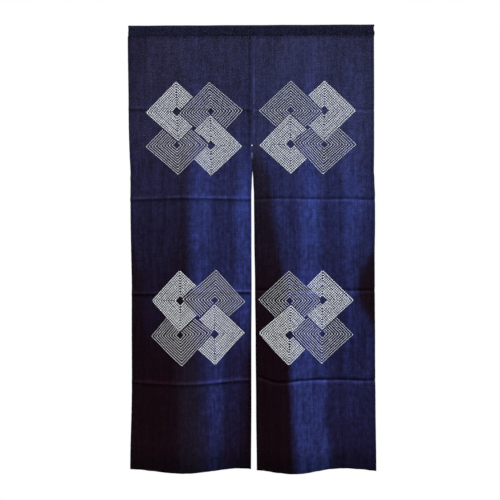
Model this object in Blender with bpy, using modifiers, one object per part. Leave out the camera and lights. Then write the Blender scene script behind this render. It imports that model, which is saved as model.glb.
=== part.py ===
"""A split door curtain: two hemmed cloth panels joined by a short centre seam, under a rod pocket.

Metres, +Z up. The cloth faces -Y. The origin is the top of the rod pocket, over the centre seam,
so every drop below is a distance down from the edge that the rod carries.
"""

import math
from collections import namedtuple

import bmesh
import bpy

# Driving sizes of the cut and sewn cloth
DROP = 1.524
LEFT_WIDTH = 0.427
RIGHT_WIDTH = 0.417
CLOTH = 0.0012
HEM_WIDTH = 0.010
HEM_THICKNESS = 0.0024
CLEARANCE = 0.0003

# Rod pocket: the top of each panel turned back over the rod and sewn down
ROD_ROOM = 0.008
POCKET_DROP = 0.036
SEWN_STRIP = 0.003
POCKET_ARC_STEPS = 14

# Where the panels' rows and columns lie
FOLD_COLUMNS = 16
ROWS_BETWEEN_CREASES = 4
HEM_STEP = 0.001
CREASE_OFFSETS = (-0.013, -0.004, 0.0, 0.004, 0.013)
CREASE_REACH = 0.014

MM = 0.001

# The inner edges of the two panels: shut along the seam, then parting down the slit
Slit = namedtuple("Slit", "drop left_edge right_edge")
SLIT = (
    Slit(drop=0.455, left_edge=0.15 * MM, right_edge=0.15 * MM),
    Slit(drop=0.540, left_edge=2.0 * MM, right_edge=1.8 * MM),
    Slit(drop=0.640, left_edge=4.0 * MM, right_edge=4.6 * MM),
    Slit(drop=1.000, left_edge=4.2 * MM, right_edge=9.4 * MM),
    Slit(drop=DROP, left_edge=4.6 * MM, right_edge=15.4 * MM),
)

# A soft vertical fold: its crest stands towards -Y and slopes away over its reach to either side.
# Crest and reach are shares of the panel's width from its -X edge. Each level has a crest and depth.
LEVELS = (POCKET_DROP, 0.30, 0.60, 0.90, 1.20, DROP)
Fold = namedtuple("Fold", "reach_left reach_right crest depth_mm")
LEFT_FOLDS = (
    Fold(0.50, 0.52, crest=(0.50, 0.50, 0.50, 0.49, 0.47, 0.45), depth_mm=(0, 9, 27, 45, 49, 42)),
    Fold(0.13, 0.13, crest=(0.18, 0.18, 0.18, 0.17, 0.16, 0.15), depth_mm=(0, 1, 3, 3, 2, 1)),
    Fold(0.17, 0.17, crest=(1.04, 1.04, 1.04, 1.04, 1.03, 1.02), depth_mm=(0, 0, 2, 4, 7, 8)),
)
RIGHT_FOLDS = (
    Fold(0.30, 0.39, crest=(0.30, 0.30, 0.28, 0.25, 0.21, 0.31), depth_mm=(0, 6, 18, 30, 38, 34)),
    Fold(0.17, 0.19, crest=(0.78, 0.78, 0.77, 0.82, 0.92, 1.02), depth_mm=(0, 3, 12, 11, 9, 9)),
)
# The whole cloth hangs this far behind the rod's line at each level, which balances its folds
SET_BACK_MM = (0, 3, 9, 13, 14, 12)

# Packing creases across both panels, a ridge towards -Y where positive and a trough where negative.
# Each one's lie is how far below its drop it runs at the panel's -X edge, middle and +X edge.
Crease = namedtuple("Crease", "drop left_mm right_mm left_lie_mm right_lie_mm")
CREASES = (
    Crease(0.284, left_mm=1.4, right_mm=-1.2, left_lie_mm=(1.7, -0.8, -3.3), right_lie_mm=(2.5, 2.5, 2.5)),
    Crease(0.593, left_mm=3.0, right_mm=-2.4, left_lie_mm=(3.2, 1.4, -10.0), right_lie_mm=(-1.0, 1.5, 3.4)),
    Crease(0.906, left_mm=2.2, right_mm=-2.2, left_lie_mm=(12.0, 4.6, 5.8), right_lie_mm=(3.7, 1.7, 0.9)),
    Crease(1.219, left_mm=3.4, right_mm=-3.0, left_lie_mm=(6.7, 0.3, -7.6), right_lie_mm=(-3.5, -4.5, -5.5)),
)


def eased(share):
    """Runs from 0 to 1 with a level start and end."""
    return 0.5 - 0.5 * math.cos(math.pi * min(max(share, 0.0), 1.0))


def between(stations, values, at):
    """The value at a station, eased between the listed ones."""
    for low, high, start, end in zip(stations, stations[1:], values, values[1:]):
        if at <= high:
            return start + (end - start) * eased((at - low) / (high - low))
    return values[-1]


def fold_depth(folds, share, drop):
    """How far the folds stand out towards -Y at a share of the width and a drop."""
    out = 0.0
    for fold in folds:
        offset = share - between(LEVELS, fold.crest, drop)
        reach = fold.reach_left if offset < 0 else fold.reach_right
        out += MM * between(LEVELS, fold.depth_mm, drop) * (1 - eased(abs(offset) / reach))
    return out


def crease_depth(side, drop):
    """How far the creases stand out towards -Y at a drop, falling away as the square of the distance."""
    out = 0.0
    for crease in CREASES:
        near = max(0.0, 1 - abs(drop - crease.drop) / CREASE_REACH)
        out += MM * getattr(crease, side) * near**2
    return out


def crease_slide(side, share, drop):
    """How far below its drop a row of the cloth runs, so that the rows at the creases follow their lie."""
    stations = [POCKET_DROP, *(crease.drop for crease in CREASES), DROP]
    lies = [between((0.0, 0.5, 1.0), getattr(crease, side.replace("_mm", "_lie_mm")), share) for crease in CREASES]
    return MM * between(stations, [0.0, *lies, 0.0], drop)


def column_shares(width):
    """Shares of the width where the panel's columns lie: even ones, and a step at each side hem."""
    hem = HEM_WIDTH / width
    step = HEM_STEP / width
    inner = [hem + step + (1 - 2 * (hem + step)) * i / FOLD_COLUMNS for i in range(FOLD_COLUMNS + 1)]
    return [0.0, hem, *inner, 1 - hem, 1.0]


def row_drops():
    """Drops where the panel's rows lie: close together at each crease, and a step at the bottom hem."""
    rows = []
    top = POCKET_DROP + CLEARANCE
    for crease in CREASES:
        first = crease.drop + CREASE_OFFSETS[0]
        rows += [top + (first - top) * i / ROWS_BETWEEN_CREASES for i in range(ROWS_BETWEEN_CREASES)]
        rows += [crease.drop + offset for offset in CREASE_OFFSETS]
        top = rows.pop()
    last = DROP - HEM_WIDTH - HEM_STEP
    rows += [top + (last - top) * i / ROWS_BETWEEN_CREASES for i in range(ROWS_BETWEEN_CREASES + 1)]
    return [*rows, DROP - HEM_WIDTH, DROP]


def row_of_points(width, folds, side, inner_edge, outward, drop):
    """One row of the cloth, from its inner edge outwards. Each step keeps its length along the cloth."""
    shares = column_shares(width)
    # Folds count from the panel's -X edge, and the left panel's inner edge is its +X one.
    from_low_x = [share if outward > 0 else 1 - share for share in shares]
    depths = [fold_depth(folds, share, drop) for share in from_low_x]
    back = MM * between(LEVELS, SET_BACK_MM, drop) - crease_depth(side, drop)
    x = outward * inner_edge
    points = []
    for i, depth in enumerate(depths):
        if i:
            along = (shares[i] - shares[i - 1]) * width
            x += outward * math.sqrt(along**2 - (depth - depths[i - 1]) ** 2)
        points.append((x, back - depth, -drop - crease_slide(side, from_low_x[i], drop)))
    return points


def cloth_material(name, colour):
    material = bpy.data.materials.new(name)
    material.use_nodes = True
    shader = material.node_tree.nodes["Principled BSDF"]
    shader.inputs["Base Color"].default_value = colour
    shader.inputs["Roughness"].default_value = 0.9
    shader.inputs["Metallic"].default_value = 0.0
    return material


def add_panel(collection, name, width, folds, side, outward, material):
    """A hanging panel: an open sheet of cloth given its thickness, and twice that at its hems."""
    drops = row_drops()
    columns = len(column_shares(width))
    inner = [getattr(row, "left_edge" if outward < 0 else "right_edge") for row in SLIT]
    stations = [row.drop for row in SLIT]
    sheet = [
        row_of_points(width, folds, side, between(stations, inner, max(drop, SLIT[0].drop)), outward, drop)
        for drop in drops
    ]
    mesh = bpy.data.meshes.new(name)
    grid = bmesh.new()
    bmesh.ops.create_grid(grid, x_segments=columns - 1, y_segments=len(drops) - 1, size=0.5)
    hem_vertices = []
    for vertex in grid.verts:
        column = round((vertex.co.x + 0.5) * (columns - 1))
        row = round((0.5 - vertex.co.y) * (len(drops) - 1))
        if outward < 0:
            column = columns - 1 - column
        vertex.co = sheet[row][column]
        if column in (0, 1, columns - 2, columns - 1) or row >= len(drops) - 2:
            hem_vertices.append(vertex.index)
    grid.to_mesh(mesh)
    grid.free()
    mesh.materials.append(material)
    panel = bpy.data.objects.new(name, mesh)
    collection.objects.link(panel)
    hem = panel.vertex_groups.new(name="hem")
    hem.add(hem_vertices, 1.0, "REPLACE")
    solidify = panel.modifiers.new("cloth thickness", "SOLIDIFY")
    solidify.thickness = HEM_THICKNESS
    solidify.offset = 0
    solidify.vertex_group = hem.name
    solidify.thickness_vertex_group = CLOTH / HEM_THICKNESS
    return panel


def teardrop(radius, tip_half, tip_drop):
    """Outline of cloth hanging from a rod of this radius, as (y, z): an arc, then straight to its tip."""
    centre = -(ROD_ROOM + CLOTH)
    across = math.hypot(tip_half, tip_drop + centre)
    start = math.atan2(-tip_drop - centre, tip_half) + math.acos(radius / across)
    sweep = math.pi - 2 * start
    arc = [start + sweep * i / POCKET_ARC_STEPS for i in range(POCKET_ARC_STEPS + 1)]
    outline = [(radius * math.cos(a), centre + radius * math.sin(a)) for a in arc]
    tip = [(-tip_half, -tip_drop), (tip_half, -tip_drop)] if tip_half else [(0.0, -tip_drop)]
    return outline + tip


def add_heading(collection, name, low_x, high_x, material):
    """Rod pocket of one panel: an open tunnel along X, closed below by the strip that is sewn flat."""
    curve = bpy.data.curves.new(name, "CURVE")
    curve.dimensions = "2D"
    curve.fill_mode = "BOTH"
    curve.extrude = (high_x - low_x) / 2
    outside = teardrop(ROD_ROOM + CLOTH, CLOTH, POCKET_DROP)
    inside = teardrop(ROD_ROOM, 0.0, POCKET_DROP - SEWN_STRIP)
    for outline in (outside, inside):
        spline = curve.splines.new("POLY")
        spline.points.add(len(outline) - 1)
        for point, (y, z) in zip(spline.points, outline):
            point.co = (y, z, 0.0, 1.0)
        spline.use_cyclic_u = True
    curve.materials.append(material)
    heading = bpy.data.objects.new(name, curve)
    # Turns the flat outline's x, y and depth to the curtain's Y, Z and X.
    heading.rotation_euler = (math.pi / 2, 0.0, math.pi / 2)
    heading.location = ((low_x + high_x) / 2, 0.0, 0.0)
    collection.objects.link(heading)
    return heading


def main():
    for obj in list(bpy.data.objects):
        bpy.data.objects.remove(obj, do_unlink=True)
    curtain = bpy.data.collections.new("noren_curtain")
    bpy.context.scene.collection.children.link(curtain)
    indigo = cloth_material("indigo_cotton", (0.016, 0.022, 0.075, 1.0))
    add_panel(curtain, "left_panel", LEFT_WIDTH, LEFT_FOLDS, "left_mm", -1, indigo)
    add_panel(curtain, "right_panel", RIGHT_WIDTH, RIGHT_FOLDS, "right_mm", 1, indigo)
    seam = CLEARANCE / 2
    add_heading(curtain, "left_heading", -LEFT_WIDTH - seam, -seam, indigo)
    add_heading(curtain, "right_heading", seam, RIGHT_WIDTH + seam, indigo)


main()
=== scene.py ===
"""Looks of a split door curtain: indigo cotton panels under a rod pocket, with sashiko squares.

Metres, +Z up, the cloth faces -Y. The origin is the top of the rod pocket over the centre seam.
A place on the cloth is given flat, as it was cut: how far along it lies from the panel's inner
edge, and how far it drops below the rod pocket's top. Each class builds one sub-assembly.
"""

import logging
import math
from dataclasses import dataclass, field
from enum import Enum
from typing import Sequence

import bpy
import numpy as np
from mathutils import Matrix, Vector

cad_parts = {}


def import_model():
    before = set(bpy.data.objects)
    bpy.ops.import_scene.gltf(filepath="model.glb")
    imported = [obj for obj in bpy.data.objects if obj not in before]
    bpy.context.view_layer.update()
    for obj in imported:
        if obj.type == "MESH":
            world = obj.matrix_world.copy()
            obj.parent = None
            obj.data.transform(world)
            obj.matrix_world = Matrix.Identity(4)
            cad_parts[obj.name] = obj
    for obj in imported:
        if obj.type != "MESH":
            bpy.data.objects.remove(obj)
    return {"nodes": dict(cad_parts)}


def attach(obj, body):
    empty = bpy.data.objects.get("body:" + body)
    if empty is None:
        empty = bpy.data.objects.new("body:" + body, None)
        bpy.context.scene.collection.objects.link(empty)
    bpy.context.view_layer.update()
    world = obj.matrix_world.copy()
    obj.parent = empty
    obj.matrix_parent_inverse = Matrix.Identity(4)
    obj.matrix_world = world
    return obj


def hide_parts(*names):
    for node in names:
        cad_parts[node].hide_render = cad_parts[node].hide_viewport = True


log = logging.getLogger("noren")

MM = 0.001
BODY = "root"

# The cut and sewn cloth, as the solids have it
DROP = 1.524
POCKET_DROP = 0.036
ROD_ROOM = 0.008
CLOTH = 0.0012
CLEARANCE = 0.0003
SEAM_DROP = 0.455
HEM_STITCH = 0.0088

# Drops at which the folds, the set-back and the painted light are given
LEVELS = (POCKET_DROP, 0.30, 0.60, 0.90, 1.20, DROP)

Array = np.ndarray
Socket = bpy.types.NodeSocket
Number = float | Socket
Colour = tuple[float, ...] | Socket


def eased(share: Array) -> Array:
    """Run from 0 to 1 with a level start and end: half of one minus the cosine of a half turn."""
    return 0.5 - 0.5 * np.cos(np.pi * np.clip(share, 0.0, 1.0))


def ramp(low: float, high: float, at: Array) -> Array:
    """Run from 0 at low to 1 at high, eased."""
    return eased((at - low) / (high - low))


def bell(at: Array, width: float) -> Array:
    """Stand at 1 over 0 and fall away as the exponential of minus the squared share of the width."""
    return np.exp(-((at / width) ** 2))


def between(stations: Sequence[float], values: Sequence[float], at: Array) -> Array:
    """Read values at places, eased between the listed stations.

    Args:
        stations: rising places at which the values are given.
        values: one value for each station.
        at: the places to read, as an array of any shape.

    Returns:
        The values there. Beyond the ends the first and last values hold.
    """
    stations, values = np.asarray(stations, float), np.asarray(values, float)
    cell = np.clip(np.searchsorted(stations, at) - 1, 0, len(stations) - 2)
    share = (at - stations[cell]) / (stations[cell + 1] - stations[cell])
    return values[cell] + (values[cell + 1] - values[cell]) * eased(share)


def wander(at: Array, seed: int, wavelength: float, octaves: int = 3) -> Array:
    """Give smooth, repeatable unevenness along one direction, about -1 to 1.

    Each octave adds two sines of unlike wavelengths with drawn phases, at half the height of the
    one before and at 1.9 times its pace.
    """
    draw = np.random.default_rng(seed)
    total = np.zeros_like(at, dtype=float)
    height, pace = 0.5, 2 * np.pi / wavelength
    for _ in range(octaves):
        first, second = draw.uniform(0, 2 * np.pi, 2)
        total += height * (np.sin(pace * at + first) + 0.6 * np.sin(1.37 * pace * at + second))
        height, pace = height / 2, pace * 1.9
    return total


def spread(marks: Sequence[float], step: float) -> Array:
    """Fill the stretches between rising marks evenly, at steps no longer than the one given."""
    pieces = [
        np.linspace(low, high, max(1, math.ceil((high - low) / step - 1e-9)), endpoint=False)
        for low, high in zip(marks, marks[1:])
    ]
    return np.concatenate([*pieces, marks[-1:]])


def unit(vectors: Array) -> Array:
    """Scale vectors to a length of one."""
    return vectors / np.maximum(np.linalg.norm(vectors, axis=-1, keepdims=True), 1e-12)


def sample(grid: Array, rows: Array, columns: Array, row: Array, column: Array) -> Array:
    """Read a grid of points between its stations, straight along both ways.

    Args:
        grid: points, (rows, columns, 3).
        rows: the rising station of each row.
        columns: the rising station of each column.
        row: the stations to read down the rows.
        column: the stations to read along the columns.

    Returns:
        One point for each pair of stations. Beyond the grid its last cells are carried on.
    """
    r = np.clip(np.searchsorted(rows, row) - 1, 0, len(rows) - 2)
    c = np.clip(np.searchsorted(columns, column) - 1, 0, len(columns) - 2)
    s = ((row - rows[r]) / (rows[r + 1] - rows[r]))[..., None]
    t = ((column - columns[c]) / (columns[c + 1] - columns[c]))[..., None]
    upper = grid[r, c] * (1 - t) + grid[r, c + 1] * t
    lower = grid[r + 1, c] * (1 - t) + grid[r + 1, c + 1] * t
    return upper * (1 - s) + lower * s


class Side(Enum):
    """Which panel a piece belongs to; the value is the way outwards from the seam along X."""

    LEFT = -1
    RIGHT = 1


class Face(Enum):
    """Which face of the cloth a stitch shows on; the value is its turn of the cloth's normal."""

    FRONT = 1
    BACK = -1


# ---------------------------------------------------------------------------------------------
# Meshes
# ---------------------------------------------------------------------------------------------


def add_mesh(name: str, points: Array, quads: Array, material: bpy.types.Material) -> bpy.types.Object:
    """Make a smooth-shaded piece.

    Args:
        name: the piece's name.
        points: where its points lie, (n, 3).
        quads: the four points of each face, (m, 4), turning anticlockwise seen from outside.
        material: its finish.

    Returns:
        The piece, at the origin.
    """
    mesh = bpy.data.meshes.new(name)
    mesh.vertices.add(len(points))
    mesh.vertices.foreach_set("co", np.ascontiguousarray(points, np.float32).ravel())
    mesh.loops.add(quads.size)
    mesh.loops.foreach_set("vertex_index", np.ascontiguousarray(quads, np.int32).ravel())
    mesh.polygons.add(len(quads))
    mesh.polygons.foreach_set("loop_start", np.arange(0, quads.size, 4, dtype=np.int32))
    mesh.polygons.foreach_set("use_smooth", np.ones(len(quads), bool))
    mesh.update(calc_edges=True)
    mesh.materials.append(material)
    piece = bpy.data.objects.new(name, mesh)
    bpy.context.scene.collection.objects.link(piece)
    return piece


def add_uv(piece: bpy.types.Object, flat: Array) -> None:
    """Give a piece its UV map "cloth": a flat place in metres for each point."""
    corner = np.empty(len(piece.data.loops), np.int32)
    piece.data.loops.foreach_get("vertex_index", corner)
    layer = piece.data.uv_layers.new(name="cloth")
    layer.uv.foreach_set("vector", np.ascontiguousarray(flat[corner], np.float32).ravel())


def add_amounts(piece: bpy.types.Object, **amounts: Array) -> None:
    """Give a piece numbers for each point, which its material reads by name."""
    for name, values in amounts.items():
        layer = piece.data.attributes.new(name, "FLOAT", "POINT")
        layer.data.foreach_set("value", np.ascontiguousarray(np.clip(values, 0.0, 2.0), np.float32))


def dress(piece: bpy.types.Object, slot: str, *nodes: str) -> bpy.types.Object:
    """Hide the solids that a finished piece stands in for, and let it ride on the curtain."""
    if nodes:
        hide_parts(*nodes)
    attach(piece, BODY)
    log.info("%s: %d faces", piece.name, len(piece.data.polygons))
    return piece


# ---------------------------------------------------------------------------------------------
# Finishes
# ---------------------------------------------------------------------------------------------


class Finish:
    """A procedural material under construction: adds nodes and joins them."""

    def __init__(self, name: str, roughness: float, specular: float) -> None:
        """Start from a Principled shader with hardly any gloss, as cotton has."""
        self.material = bpy.data.materials.new(name)
        self.material.use_nodes = True
        self.tree = self.material.node_tree
        self.shader = self.tree.nodes["Principled BSDF"]
        self.shader.inputs["Roughness"].default_value = roughness
        self.shader.inputs["Specular IOR Level"].default_value = specular

    def join(self, socket: Socket, value: Number | Colour) -> None:
        """Set a socket to a number or colour, or link it from another socket."""
        if isinstance(value, Socket):
            self.tree.links.new(value, socket)
        else:
            socket.default_value = value

    def add(self, kind: str, inputs: dict, **settings) -> bpy.types.Node:
        """Add a node.

        Args:
            kind: Blender's name for it, without the words ShaderNode.
            inputs: a number, colour or socket for each of its inputs that is set, by name or index.
            settings: its own settings.

        Returns:
            The node.
        """
        node = self.tree.nodes.new("ShaderNode" + kind)
        for name, value in settings.items():
            setattr(node, name, value)
        for key, value in inputs.items():
            self.join(node.inputs[key], value)
        return node

    def maths(self, operation: str, first: Number, second: Number = 0.0, clamp: bool = False) -> Socket:
        """Work out one sum or function of one or two numbers."""
        return self.add("Math", {0: first, 1: second}, operation=operation, use_clamp=clamp).outputs[0]

    def amount(self, name: str) -> Socket:
        """Read one of the piece's own numbers."""
        return self.add("Attribute", {}, attribute_name=name).outputs["Fac"]

    def flat(self, along: float, down: float) -> Socket:
        """Give flat places, multiplied to stretch a pattern."""
        uv = self.add("UVMap", {}, uv_map="cloth").outputs[0]
        return self.add("Mapping", {"Vector": uv, "Scale": (along, down, 1.0)}).outputs[0]

    def noise(self, along: float, down: float, detail: float = 2.0, rough: float = 0.5) -> Socket:
        """Give noise from 0 to 1, with features about one over along and down metres across."""
        inputs = {"Vector": self.flat(along, down), "Scale": 1.0, "Detail": detail, "Roughness": rough}
        return self.add("TexNoise", inputs, noise_dimensions="2D").outputs[0]

    def stretch(self, value: Number, low: float, high: float,
                to_low: float = 0.0, to_high: float = 1.0) -> Socket:
        """Map a range to another, eased and held at its ends."""
        inputs = {"Value": value, "From Min": low, "From Max": high, "To Min": to_low, "To Max": to_high}
        return self.add("MapRange", inputs, interpolation_type="SMOOTHSTEP").outputs[0]

    def mix(self, share: Number, first: Colour, second: Colour, blend: str = "MIX") -> Socket:
        """Mix two colours."""
        inputs = {0: share, 6: first, 7: second}
        return self.add("Mix", inputs, data_type="RGBA", blend_type=blend).outputs[2]

    def shaded(self, colour: Colour, tone: Number) -> Socket:
        """Multiply a colour by one number."""
        grey = self.add("CombineColor", {0: tone, 1: tone, 2: tone}).outputs[0]
        return self.mix(1.0, colour, grey, "MULTIPLY")

    def bump(self, height: Socket, distance: float, strength: float, under: Socket | None = None) -> Socket:
        """Give the normal of a relief, laid over another one's normal where that is given."""
        inputs = {"Height": height, "Distance": distance, "Strength": strength}
        if under is not None:
            inputs["Normal"] = under
        return self.add("Bump", inputs).outputs[0]

    def set(self, **values: Number | Colour) -> bpy.types.Material:
        """Set or link the shader's inputs, with _ for a space, and return the material."""
        for name, value in values.items():
            self.join(self.shader.inputs[name.replace("_", " ")], value)
        return self.material


@dataclass(frozen=True)
class IndigoCotton:
    """Plain-woven cotton with painted light: a painted sheen greys it above, bluer bands are painted light
    on the folds' lit sides, and painted shade leaves it almost black between them.
    """

    # The first three colours: the cloth in painted shade, its painted sheen, and its painted light on the
    # folds' lit sides; fleck is the cloth's own pale specks.
    shaded_aubergine: tuple[float, ...] = (0.0058, 0.0018, 0.0036, 1.0)
    navy: tuple[float, ...] = (0.024, 0.026, 0.065, 1.0)
    indigo: tuple[float, ...] = (0.029, 0.045, 0.205, 1.0)
    fleck: tuple[float, ...] = (0.085, 0.085, 0.14, 1.0)
    yarn_pitch: float = 0.0009
    name: str = "indigo_cotton"

    def material(self) -> bpy.types.Material:
        """Build it. The piece's numbers say where the painted light, the painted sheen and the painted
        shade lie.
        """
        f = Finish(self.name, roughness=0.92, specular=0.02)
        streaks = f.noise(150.0, 7.0, 3.0, 0.6)
        slubs = f.noise(14.0, 300.0, 2.0, 0.5)
        cloud = f.noise(26.0, 12.0, 4.0, 0.6)
        mottle = f.noise(75.0, 55.0, 3.0, 0.55)
        # Painted light mixes in the lit colour, the painted sheen greys the shade colour towards navy, and
        # shade is painted shade.
        blue = f.maths("MULTIPLY", f.amount("blue"), f.stretch(cloud, 0.2, 0.8, 0.72, 1.25))
        blue = f.maths("MULTIPLY", blue, f.stretch(mottle, 0.2, 0.8, 0.88, 1.12), clamp=True)
        veil = f.maths("MULTIPLY", f.amount("veil"), f.stretch(cloud, 0.25, 0.75, 0.84, 1.15))
        colour = f.mix(blue, f.mix(veil, self.shaded_aubergine, self.navy), self.indigo)
        tone = f.maths("MULTIPLY", f.stretch(streaks, 0.25, 0.75, 0.80, 1.20), f.amount("shade"))
        tone = f.maths("MULTIPLY", tone, f.stretch(f.noise(48.0, 2.2), 0.3, 0.7, 0.90, 1.10))
        tone = f.maths("MULTIPLY", tone, f.stretch(f.noise(280.0, 210.0, 2.0, 0.6), 0.3, 0.7, 0.76, 1.24))
        tone = f.maths("MULTIPLY", tone, f.stretch(mottle, 0.2, 0.8, 0.78, 1.22))
        tone = f.maths("MULTIPLY", tone, f.stretch(slubs, 0.2, 0.8, 0.88, 1.12))
        flecks = f.stretch(f.noise(330.0, 260.0, 1.0, 0.4), 0.58, 0.73)
        flecks = f.maths("MULTIPLY", flecks, f.stretch(f.amount("veil"), 0.0, 0.6, 0.03, 0.42))
        normal = f.bump(self.weave(f), 0.00022, 0.55)
        normal = f.bump(streaks, 0.0005, 0.35, normal)
        normal = f.bump(slubs, 0.0004, 0.25, normal)
        return f.set(Base_Color=f.mix(flecks, f.shaded(colour, tone), self.fleck), Normal=normal)

    def weave(self, f: Finish) -> Socket:
        """Give the weave's relief: a sine along times a sine down, so that yarns pass over and under."""
        turns = math.pi / self.yarn_pitch
        place = f.add("SeparateXYZ", {0: f.flat(turns, turns)})
        return f.maths("MULTIPLY", f.maths("SINE", place.outputs[0]), f.maths("SINE", place.outputs[1]))


@dataclass(frozen=True)
class TwistedThread:
    """Cotton thread with the slant of its twist along each stitch."""

    name: str
    colour: tuple[float, ...]
    twist_pitch: float = 0.0011

    def material(self) -> bpy.types.Material:
        """Build it. The piece's UV map runs along the thread and round it."""
        f = Finish(self.name, roughness=0.85, specular=0.1)
        turns = 2 * math.pi / self.twist_pitch
        place = f.add("SeparateXYZ", {0: f.flat(turns, turns)})
        slant = f.maths("SINE", f.maths("ADD", place.outputs[0], place.outputs[1]))
        uneven = f.stretch(f.noise(40.0, 40.0), 0.25, 0.75, 0.90, 1.04)
        # Painted shade: the thread is a little darker in the grooves of its twist.
        tone = f.maths("MULTIPLY", uneven, f.stretch(slant, -1.0, 1.0, 0.93, 1.02))
        return f.set(Base_Color=f.shaded(self.colour, tone), Normal=f.bump(slant, 0.0002, 0.25))


@dataclass(frozen=True)
class Finishes:
    """The curtain's materials."""

    cotton: bpy.types.Material
    pale: bpy.types.Material
    grey_blue: bpy.types.Material
    navy: bpy.types.Material

    @classmethod
    def made(cls) -> "Finishes":
        """Build them all."""
        return cls(
            cotton=IndigoCotton().material(),
            pale=TwistedThread("pale_thread", (0.82, 0.86, 0.90, 1.0)).material(),
            grey_blue=TwistedThread("grey_blue_thread", (0.22, 0.23, 0.33, 1.0)).material(),
            navy=TwistedThread("navy_thread", (0.010, 0.010, 0.025, 1.0)).material(),
        )


# ---------------------------------------------------------------------------------------------
# The cloth
# ---------------------------------------------------------------------------------------------


@dataclass(frozen=True)
class Fold:
    """A soft vertical fold.

    Its crest stands towards -Y and slopes away over its reach to either side. The reaches and the
    crests are shares of the panel's width from its -X edge. Each level has a crest and a depth.
    """

    reach_left: float
    reach_right: float
    crest: tuple[float, ...]
    depth_mm: tuple[float, ...]

    def depth(self, share: Array, drop: Array) -> Array:
        """Depth towards -Y: the level's depth times one minus the eased distance over the reach."""
        offset = share - between(LEVELS, self.crest, drop)
        reach = np.where(offset < 0, self.reach_left, self.reach_right)
        return MM * between(LEVELS, self.depth_mm, drop) * (1 - eased(np.abs(offset) / reach))


@dataclass(frozen=True)
class Crease:
    """A packing crease across a panel: a ridge towards -Y, or a trough where its height is negative.

    lie_mm says how far below its drop it runs, at places spread evenly from the -X edge to the +X one.
    """

    drop: float
    height_mm: float
    lie_mm: tuple[float, ...]
    seed: int
    # pale and dark are the strengths of the painted highlight and the painted shade along the crease.
    pale: float
    dark: float
    reach: float = 0.014
    soft: float = 0.0020

    def lie(self, share: Array) -> Array:
        """How far below its drop the line runs at each share of the width."""
        stations = np.linspace(0, 1, len(self.lie_mm))
        return MM * (between(stations, self.lie_mm, share) + 0.6 * wander(share, self.seed, 0.6))

    def depth(self, share: Array, drop: Array) -> Array:
        """Depth towards -Y: a peak rounded over soft, falling as the square of the distance to reach."""
        away = np.sqrt((drop - self.drop) ** 2 + self.soft**2) - self.soft
        uneven = 1 + 0.35 * wander(share, self.seed + 7, 0.45)
        return MM * self.height_mm * uneven * np.clip(1 - away / self.reach, 0.0, 1.0) ** 2

    def painted_light(self, share: Array, drop: Array) -> Array:
        """Painted light and shade: e to the power of a painted highlight's bell above the line less a
        painted shade's bell below it.

        A trough has them the other way round. They weaken and strengthen along the line.
        """
        above = -math.copysign(1.0, self.height_mm)
        away = drop - self.drop
        pale, dark = bell(away - above * 0.0045, 0.0045), bell(away + above * 0.0040, 0.0045)
        return np.exp((1 + 0.3 * wander(share, self.seed + 9, 0.3)) * (self.pale * pale - self.dark * dark))


@dataclass(frozen=True)
class PaintedLightBand:
    """A band of painted light down a panel, with its edges as shares of the width from -X at each level."""

    left: tuple[float, ...]
    right: tuple[float, ...]
    strength: tuple[float, ...]
    soft_left: float = 0.06
    soft_right: float = 0.06

    def amount(self, share: Array, drop: Array) -> Array:
        """How strong its painted light is: the level's strength, eased in across each edge."""
        inside = ramp(-self.soft_left, self.soft_left, share - between(LEVELS, self.left, drop))
        outside = ramp(-self.soft_right, self.soft_right, share - between(LEVELS, self.right, drop))
        return between(LEVELS, self.strength, drop) * inside * (1 - outside)


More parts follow.
